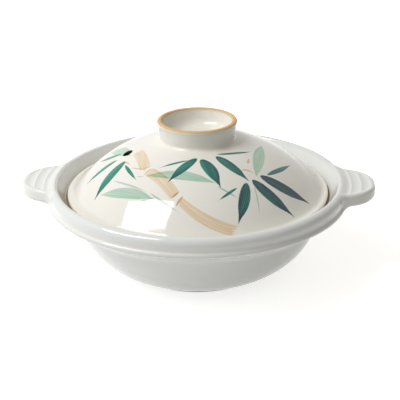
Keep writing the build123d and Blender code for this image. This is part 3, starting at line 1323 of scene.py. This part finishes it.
hole_reach = 54.2
hole_bearing = math.radians(190.2) + pot_turn
hole_x = hole_reach * math.cos(hole_bearing)
hole_y = hole_reach * math.sin(hole_bearing)
hole_radius = 3.5
hole_round = 0.5
hole_sides = 48
horn_flare = 1.6
horn_slope = math.radians(9)
horn = [(hole_radius, -3.0)]
for degrees in (0, 15, 30, 45, 60, 72, 82):
    turn = math.radians(degrees)
    horn.append((hole_radius + hole_round * (1 - math.cos(turn)), hole_round * (math.sin(turn) - 1)))
horn.append((horn[-1][0] + horn_flare, horn[-1][1] + horn_flare * math.tan(horn_slope)))
horn.append((horn[-1][0], 2.0))

tool_rings = [(radius, height, dome_centre, dome_radius) for radius, height in horn[::-1]]
tool_rings += [(radius, -height, under_centre, under_radius) for radius, height in horn]
tool_points = []
for radius, height, ball_centre, ball_radius in tool_rings:
    for k in range(hole_sides):
        angle = math.tau * k / hole_sides
        x = hole_x + radius * math.cos(angle)
        y = hole_y + radius * math.sin(angle)
        z = height + dome_height(x, y, ball_centre, ball_radius)
        tool_points.append((x * mm, y * mm, z * mm))
tool_faces = []
for first in range(0, len(tool_points) - hole_sides, hole_sides):
    for k in range(hole_sides):
        ahead = (k + 1) % hole_sides
        upper, lower = first, first + hole_sides
        tool_faces.append((upper + k, upper + ahead, lower + ahead, lower + k))
tool_faces.append(tuple(range(hole_sides)))
tool_faces.append(tuple(range(len(tool_points) - hole_sides, len(tool_points))))
tool_mesh = bpy.data.meshes.new("steam_hole_tool")
tool_mesh.from_pydata(tool_points, [], tool_faces)
tool_mesh.materials.append(lid_glaze)
tool = add_object("steam_hole_tool", tool_mesh)
face_outwards(tool)

# %% Piercing the lid
pierce = lid_whole.modifiers.new("pierce", "BOOLEAN")
pierce.operation = "DIFFERENCE"
pierce.solver = "EXACT"
pierce.object = tool
lid_dome = plain_copy(lid_whole, "lid_dome_glazed")
bpy.data.objects.remove(tool)
face_outwards(lid_dome)
lid_dome.data.materials.clear()
lid_finishes = [lid_glaze, lid_inside_glaze, steam_hole_painted_shade]
for finish in lid_finishes:
    lid_dome.data.materials.append(finish)
middle_shell = (dome_radius + under_radius) / 2
painted_from = 61.2
hole_edge = hole_radius + 0.3
for face in lid_dome.data.polygons:
    x, y, z = face.center / mm
    inside = math.hypot(x, y, z - dome_centre) < middle_shell or z < painted_from
    finish = lid_inside_glaze if inside else lid_glaze
    # The steam hole's wall gets the near-black painted shade.
    if math.hypot(x - hole_x, y - hole_y) < hole_edge:
        finish = steam_hole_painted_shade
    face.material_index = lid_finishes.index(finish)
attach(lid_dome, "lid")
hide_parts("lid_dome")

# %% [markdown]
# ## The knob
#
# The knob is a ring thrown by itself and luted to the top of the dome. It doubles as a foot when
# the lid is turned over to serve as a dish, so its rim is wiped down to the bare tan clay. Its two
# skirts run out on the dome and sink into it by a hair, so no seam shows.

# %% Knob
knob_clay = (0.70, 0.47, 0.24, 1)
bare_knob_rim = (118.95, 130.0, 0.0, 60.0)
knob_glaze = glazed_clay("knob_glaze", lid_colours, knob_clay, [bare_knob_rim], ring_width=5.0)
knob_top = 120.1
knob_radius = 31.1
knob_base = 28.7
knob_inner_radius = 27.1
knob_inner_base = 24.7
knob_middle = 27.0
outer_skirt = 32.9
inner_skirt = 16.0
skirt_thickness = 1.6


def on_dome(radius, sunk=0.0, rounding=0):
    """A corner of the knob's profile on the dome, or sunk into it."""
    return radius, dome_height(radius, 0, dome_centre, dome_radius) - sunk, rounding


knob_corners = [
    on_dome(knob_middle, 2.4),
    on_dome(outer_skirt, skirt_thickness),
    on_dome(outer_skirt, 0.06),
    on_dome(knob_base, rounding=2.4),
    (knob_radius, knob_top, 1.7),
    (knob_inner_radius, knob_top, 1.3),
    on_dome(knob_inner_base, rounding=7.0),
    on_dome(inner_skirt, 0.06),
    on_dome(inner_skirt, skirt_thickness),
    on_dome(knob_middle, 2.4),
]
knob_line, knob_bend = thinned(melted(rounded(knob_corners, 14), 0.25), finest=0.3, coarsest=2.0)
lid_knob = thrown(
    "lid_knob_glazed", knob_line, knob_bend, knob_glaze, sides=192, unevenness=0.15, seed=9.0
)
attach(lid_knob, "lid")
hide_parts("lid_knob")

# %% [markdown]
# ## Studio
#
# The photograph has one window, high at the left and a little in front, which shows on the lid as
# a pale four-sided patch. The rest of the light comes softly from the ceiling, from behind on both
# sides, from the left and from the front left. The front right of the room is dark, so the pot
# turns grey there. Each side of the room is a soft patch of light, with its height and bearing in
# degrees and its colour. The background is the floor and a white world. Both are white only for
# what the camera sees, also in a reflection, so the pot gets little light from them, and the floor
# keeps the pot's shadow.

# %% Floor
floor_half = 8
floor_corners = [(x * floor_half, y * floor_half, 0) for x, y in ((-1, -1), (1, -1), (1, 1), (-1, 1))]
floor_mesh = bpy.data.meshes.new("floor")
floor_mesh.from_pydata(floor_corners, [], [(0, 1, 2, 3)])
floor = add_object("floor", floor_mesh)
floor_material = bpy.data.materials.new("floor")
floor_material.use_nodes = True
floor_tree = floor_material.node_tree
floor_tree.nodes.clear()
glow = maths(floor_tree, "MULTIPLY_ADD", seen_rays(floor_tree), 0.66, 0.05)
matt = put(floor_tree, "ShaderNodeBsdfDiffuse", {"Color": (0.8, 0.8, 0.8, 1)}).outputs[0]
lit = put(
    floor_tree, "ShaderNodeEmission", {"Color": (1, 0.995, 0.985, 1), "Strength": glow}
).outputs[0]
both = put(floor_tree, "ShaderNodeAddShader", {0: matt, 1: lit}).outputs[0]
put(floor_tree, "ShaderNodeOutputMaterial", {"Surface": both})
floor_mesh.materials.append(floor_material)
print("floor:", 2 * floor_half, "m square")

# %% Room light
side_sharpness = 3.0
room_sides = [
    (90, 0, (0.25, 0.22, 0.17)),
    (25, 45, (0.46, 0.46, 0.40)),
    (25, 135, (0.33, 0.34, 0.36)),
    (25, 180, (0.46, 0.47, 0.50)),
    (25, 225, (0.56, 0.56, 0.56)),
]
world = bpy.data.worlds.new("room")
world.use_nodes = True
bpy.context.scene.world = world
room = world.node_tree
room.nodes.clear()
direction = put(room, "ShaderNodeTexCoord").outputs["Generated"]
glow = (0, 0, 0)
for height, bearing, colour in room_sides:
    across = math.cos(math.radians(height))
    bearing = math.radians(bearing) + pot_turn
    way = (across * math.cos(bearing), across * math.sin(bearing), math.sin(math.radians(height)))
    facing = maths(room, "MAXIMUM", arrows(room, "DOT_PRODUCT", direction, way), 0.0)
    glow = arrows(room, "MULTIPLY_ADD", maths(room, "POWER", facing, side_sharpness), colour, glow)
shown = blended(room, seen_rays(room), glow, (1, 1, 1, 1))
background = put(room, "ShaderNodeBackground", {"Color": shown, "Strength": 1.0}).outputs[0]
put(room, "ShaderNodeOutputWorld", {"Surface": background})
print("the room gives light from", len(room_sides), "sides")

# %% Window
window_way = turned @ Vector((-0.517, -0.170, 0.839))
window_roll = math.radians(46)
window_distance = 1.0
window_data = bpy.data.lights.new("window", "AREA")
window_data.shape = "RECTANGLE"
window_data.size = 0.53
window_data.size_y = 0.36
window_data.energy = 5.2
window = add_object("window", window_data)
window.location = window_way * window_distance
aim(window, -window_way, window_roll)
